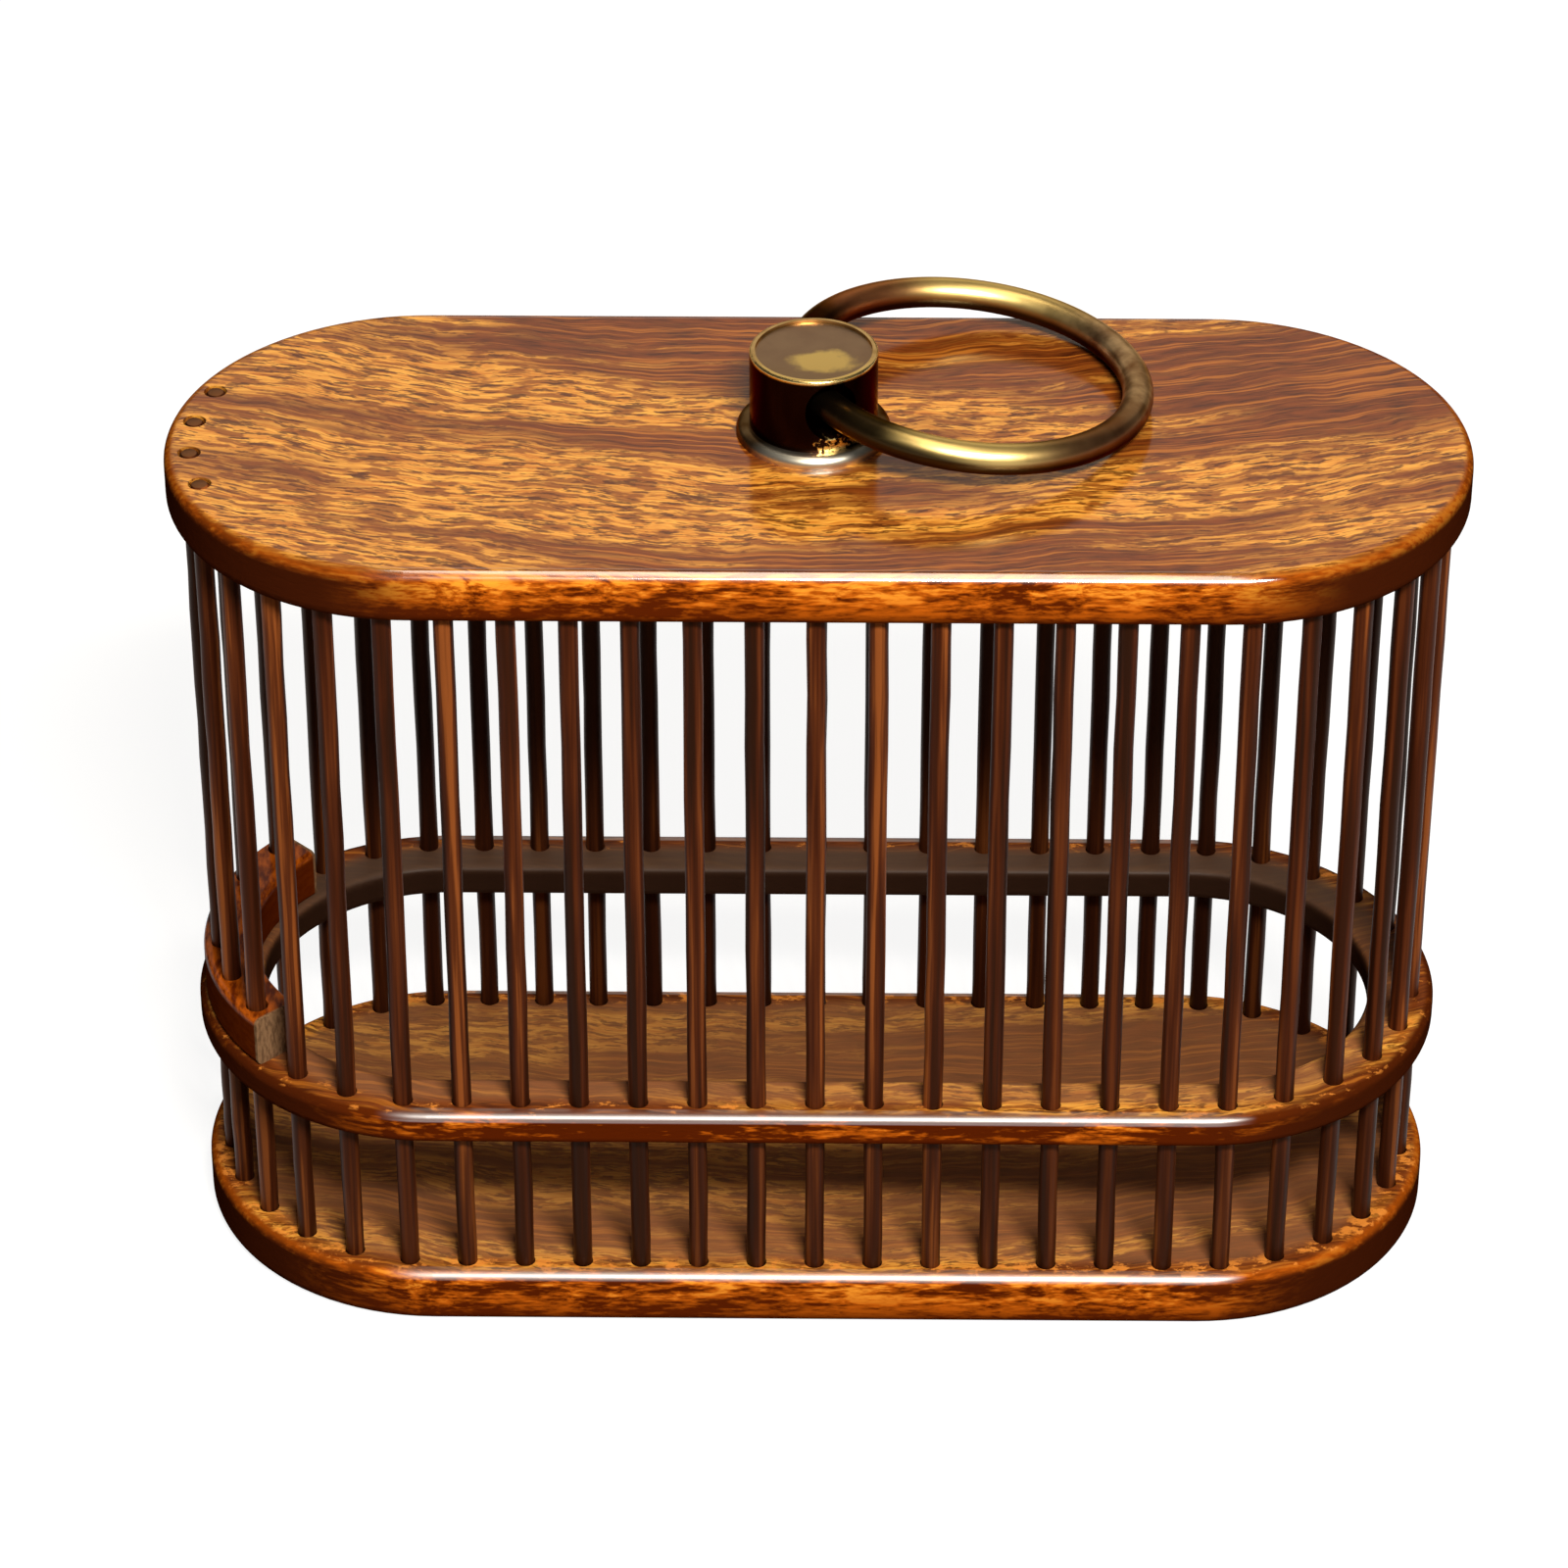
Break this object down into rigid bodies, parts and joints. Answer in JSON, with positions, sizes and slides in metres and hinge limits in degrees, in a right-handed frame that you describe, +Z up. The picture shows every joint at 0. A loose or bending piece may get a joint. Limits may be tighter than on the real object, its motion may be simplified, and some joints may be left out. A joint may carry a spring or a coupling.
{
  "type": "cricket cage",
  "caption": "Stadium-plan wooden insect cage: top plate, middle rail and base joined by round bars, with a lift-up barred door at one end and a swinging brass ring pull on top.",
  "frame": {"origin": "middle of the underside of the bottom plate", "axes": "+X along the cage away from the door, +Y to the back, +Z up"},
  "size_m": [0.162, 0.063, 0.127],
  "materials": {
    "board_wood": "lacquered rosewood",
    "bar_wood": "dark satin hardwood",
    "brass": "worn antique brass"
  },
  "bodies": {
    "cage": {"bottom_plate": "board_wood", "middle_rail": "board_wood", "top_plate": "board_wood", "short_bars": "bar_wood", "pull_washer": "brass", "pull_post": "brass", "pull_rivet": "brass", "front_bar_01": "bar_wood", "front_bar_02": "bar_wood", "front_bar_03": "bar_wood", "front_bar_04": "bar_wood", "front_bar_05": "bar_wood", "front_bar_06": "bar_wood", "front_bar_07": "bar_wood", "front_bar_08": "bar_wood", "front_bar_09": "bar_wood", "front_bar_10": "bar_wood", "front_bar_11": "bar_wood", "front_bar_12": "bar_wood", "front_bar_13": "bar_wood", "front_bar_14": "bar_wood", "front_bar_15": "bar_wood", "front_bar_16": "bar_wood", "front_bar_17": "bar_wood", "front_bar_18": "bar_wood", "front_bar_19": "bar_wood", "front_bar_20": "bar_wood", "front_bar_21": "bar_wood", "front_bar_22": "bar_wood", "front_bar_23": "bar_wood", "back_bar_01": "bar_wood", "back_bar_02": "bar_wood", "back_bar_03": "bar_wood", "back_bar_04": "bar_wood", "back_bar_05": "bar_wood", "back_bar_06": "bar_wood", "back_bar_07": "bar_wood", "back_bar_08": "bar_wood", "back_bar_09": "bar_wood", "back_bar_10": "bar_wood", "back_bar_11": "bar_wood", "back_bar_12": "bar_wood", "back_bar_13": "bar_wood", "back_bar_14": "bar_wood", "back_bar_15": "bar_wood", "back_bar_16": "bar_wood", "back_bar_17": "bar_wood", "back_bar_18": "bar_wood", "back_bar_19": "bar_wood", "back_bar_20": "bar_wood", "back_bar_21": "bar_wood", "back_bar_22": "bar_wood", "back_bar_23": "bar_wood"},
    "door": {"door_block": "board_wood", "door_bar_1": "bar_wood", "door_bar_2": "bar_wood", "door_bar_3": "bar_wood", "door_bar_4": "bar_wood"},
    "ring": {"pull_ring": "brass"}
  },
  "joints": [
    {"name": "door_slide", "type": "slide", "parent": "cage", "child": "door", "axis": [0, 0, 1], "range_m": [0, 0.0669]},
    {"name": "ring_swing", "type": "hinge", "parent": "cage", "child": "ring", "pos_m": [-0.0006, 0.0024, 0.12248], "axis": [0.2924, -0.9563, 0], "range_deg": [0, 193.1]}
  ]
}
